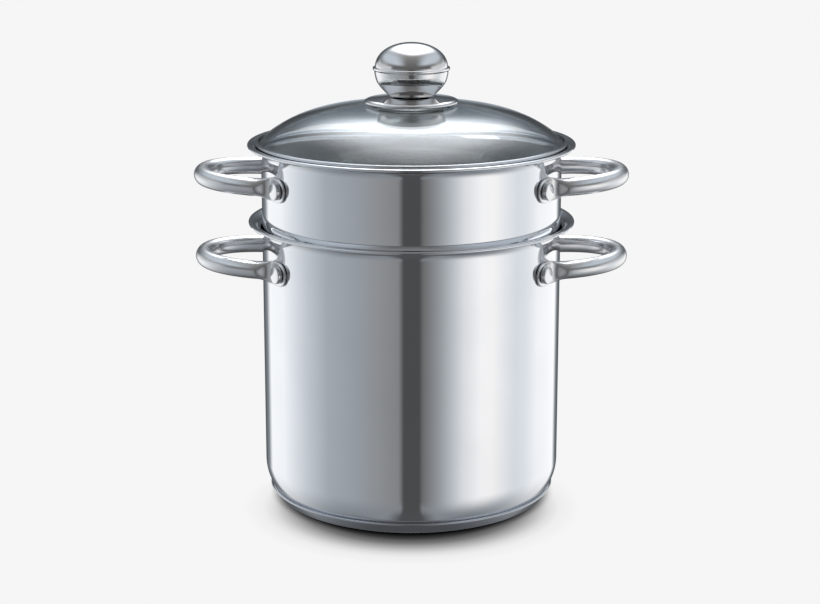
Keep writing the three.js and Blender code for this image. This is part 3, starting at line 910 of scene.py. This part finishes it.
# %% Tent
def tent_colour(tree):
    """The colour that the tent shows in each direction."""
    direction = wire(tree, "TexCoord").outputs["Generated"]
    split = wire(tree, "SeparateXYZ", Vector=direction)
    toward = math_node(tree, "MULTIPLY", split.outputs["Y"], -1.0)
    turn = math_node(tree, "ARCTAN2", split.outputs["X"], toward)
    height = math_node(tree, "ARCSINE", split.outputs["Z"])
    arch = math_node(tree, "ARCTAN2", split.outputs["Z"], toward)
    sideways = math_node(tree, "ARCSINE", split.outputs["X"])

    walls = ramp_by_angle(tree, turn, WALL_STOPS, -180, 180)
    vault = ramp_by_angle(tree, arch, VAULT_STOPS, 0, 180)
    above = band_mask(tree, height, WALL_TOP, OPEN_TOP, WALL_FADE)
    colour = blend(tree, above, walls, vault)

    middle = band_mask(tree, sideways, -SLOPE_WIDTH, SLOPE_WIDTH, SLOPE_FADE)
    aside = math_node(tree, "SUBTRACT", 1.0, middle)
    high_up = band_mask(tree, height, SLOPE_FOOT, OPEN_TOP, SLOPE_FOOT_FADE)
    colour = blend(tree, math_node(tree, "MULTIPLY", aside, high_up), colour, SIDE_SLOPES)

    for centre, half, low, high, soft, paint in SIDE_SHEETS:
        across = band_mask(tree, turn, centre - half, centre + half, soft)
        up = band_mask(tree, height, low, high, soft)
        colour = blend(tree, math_node(tree, "MULTIPLY", across, up), colour, paint)

    # The soft box is far brighter than paper, so that even glass shows it.
    oval = oval_mask(tree, sideways, arch, BOX_CENTRE, BOX_REACH)
    box = math_node(tree, "MULTIPLY", oval,
                    band_mask(tree, height, BOX_FOOT, OPEN_TOP, BOX_FOOT_FADE))
    light = tuple(BOX_LIGHT * channel for channel in BOX_TINT)
    bright = wire(tree, "VectorMath", {"operation": "SCALE"}, i0=light)
    tree.links.new(box, bright.inputs["Scale"])
    colour = wire(tree, "MixRGB", {"blend_type": "ADD"}, Fac=1.0, Color1=colour,
                  Color2=bright.outputs["Vector"]).outputs["Color"]

    underneath = band_mask(tree, height, -90, FLOOR_EDGE, FLOOR_FADE)
    colour = blend(tree, underneath, colour, FLOOR_SHADE)
    for half, edge, low, high, soft, value in DARK_GAPS:
        across = band_mask(tree, sideways, -half, half, edge)
        gap = math_node(tree, "MULTIPLY", across, band_mask(tree, arch, low, high, soft))
        colour = blend(tree, gap, colour, grey(value, 0.02))
    return colour


def tent_world():
    world = bpy.data.worlds.new("tent")
    bpy.context.scene.world = world
    world.use_nodes = True
    tree = world.node_tree
    tree.nodes.clear()
    output = tree.nodes.new("ShaderNodeOutputWorld")
    paths = wire(tree, "LightPath")
    choose = blend(tree, paths.outputs["Is Glossy Ray"], (PAPER, PAPER, PAPER, 1),
                   tent_colour(tree))
    background = wire(tree, "Background", Color=choose, Strength=1.0)
    tree.links.new(background.outputs["Background"], output.inputs["Surface"])
    print(f"world {world.name}: {len(tree.nodes)} nodes")


tent_world()

# %% [markdown]
# ## Floor
# The floor is a plain pale sheet that fades into the backdrop. The soft box hangs over the far
# side, so a short soft shadow lies in front of the base. The sheet glows evenly, a round
# gradient draws that shadow, and an Ambient Occlusion node darkens the line of contact.

# %% Floor
FLOOR_R = 6.0
SHADOW_CENTRE = (0, -0.036, 0)
SHADOW_REACH = 200
# Millimetres from the shadow's centre, and how bright the sheet is there.
SHADOW_STOPS = [(66, 0.012), (73, 0.045), (83, 0.19), (93, 0.46), (102, 0.72), (110, 0.855),
                (125, PAPER)]
CONTACT_REACH = 0.02
CONTACT_DARK, CONTACT_CLEAR = 0.05, 0.5


def pale_floor():
    bm = bmesh.new()
    bmesh.ops.create_circle(bm, cap_ends=True, segments=96, radius=FLOOR_R)
    floor = finish_mesh(bm, "floor", [], recalculate=False)
    material = bpy.data.materials.new("pale_floor")
    material.use_nodes = True
    tree = material.node_tree
    tree.nodes.clear()
    output = tree.nodes.new("ShaderNodeOutputMaterial")
    place = wire(tree, "TexCoord").outputs["Object"]
    away = wire(tree, "VectorMath", {"operation": "DISTANCE"}, i0=place, i1=SHADOW_CENTRE)
    reach = wire(tree, "MapRange", Value=away.outputs["Value"])
    reach.inputs["From Max"].default_value = SHADOW_REACH * MM
    shadow = wire(tree, "ValToRGB", Fac=reach.outputs["Result"])
    stops = [(distance, grey(value)) for distance, value in SHADOW_STOPS]
    fill_ramp(shadow.color_ramp, stops, 0, SHADOW_REACH)
    near = wire(tree, "AmbientOcclusion", {"samples": 16}, Distance=CONTACT_REACH)
    contact = wire(tree, "MapRange", Value=near.outputs["AO"])
    contact.inputs["From Min"].default_value = CONTACT_DARK
    contact.inputs["From Max"].default_value = CONTACT_CLEAR
    both = wire(tree, "MixRGB", {"blend_type": "MULTIPLY"}, Fac=1.0,
                Color1=shadow.outputs["Color"], Color2=contact.outputs["Result"])
    glow = wire(tree, "Emission", Color=both.outputs["Color"], Strength=1.0)
    tree.links.new(glow.outputs["Emission"], output.inputs["Surface"])
    floor.data.materials.append(material)
    floor.visible_glossy = False
    print(f"floor: radius {FLOOR_R:.0f} m, shadow within {SHADOW_REACH} mm of its centre")


pale_floor()

# %% [markdown]
# ## Lights
# One broad lamp overhead and one at the left model the few matt parts. Mirrors don't see
# them: the tent is what they reflect.

# %% Lights
def broad_lamp(name, place, aim, size, power):
    data = bpy.data.lights.new(name, "AREA")
    data.shape = "RECTANGLE"
    data.size = size
    data.size_y = size
    data.energy = power
    lamp = bpy.data.objects.new(name, data)
    lamp.location = place
    lamp.rotation_euler = (Vector(aim) - Vector(place)).to_track_quat("-Z", "Y").to_euler()
    lamp.visible_glossy = False
    bpy.context.scene.collection.objects.link(lamp)
    print(f"{name}: {power} W")


POT_MIDDLE = (0, 0, 0.2)
broad_lamp("overhead_box", (0, -0.2, 1.6), POT_MIDDLE, 1.4, 6)
broad_lamp("left_box", (-1.3, -0.7, 0.8), POT_MIDDLE, 0.9, 3)

# %% [markdown]
# ## Camera
# A long lens from a little above, looking along +Y. Far off and narrow, it keeps the tall wall
# almost straight, where a close camera would make it taper, and the small tilt down opens
# both lips to thin ovals.

# %% Camera
LENS = 87.8
CAMERA_PLACE = (-0.00102, -1.4492, 0.5028)
CAMERA_PITCH = 13.82
camera_data = bpy.data.cameras.new("camera")
camera_data.lens = LENS
camera_data.sensor_width = 36
camera = bpy.data.objects.new("camera", camera_data)
camera.location = CAMERA_PLACE
camera.rotation_euler = (math.radians(90 - CAMERA_PITCH), 0, 0)
bpy.context.scene.collection.objects.link(camera)
bpy.context.scene.camera = camera
bpy.context.scene.view_settings.view_transform = "Standard"
print(f"camera: {LENS} mm lens, pitched {CAMERA_PITCH} degrees down")
